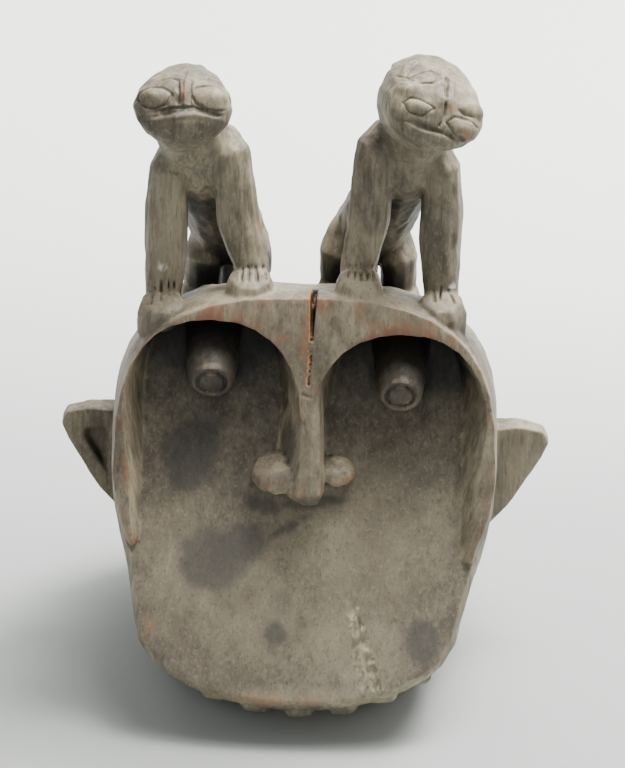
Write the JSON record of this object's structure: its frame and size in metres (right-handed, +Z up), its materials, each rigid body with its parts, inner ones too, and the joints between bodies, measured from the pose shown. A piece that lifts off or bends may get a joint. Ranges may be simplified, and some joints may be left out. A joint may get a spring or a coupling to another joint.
{
  "type": "helmet mask",
  "caption": "Carved wooden helmet mask: a deep face recess with tube eyes, a projecting toothed lip, pointed ears and a pair of leopards on the crown.",
  "frame": {"origin": "under the middle of the whole box, on the plane that the mask's rim stands on", "axes": "+Z up, the face looks towards -Y, +X is on a viewer's right"},
  "size_m": [0.372, 0.35, 0.5107],
  "materials": {
    "aged_wood": "dull worn patina"
  },
  "bodies": {
    "root": {"helmet_mask": "aged_wood"}
  },
  "joints": []
}
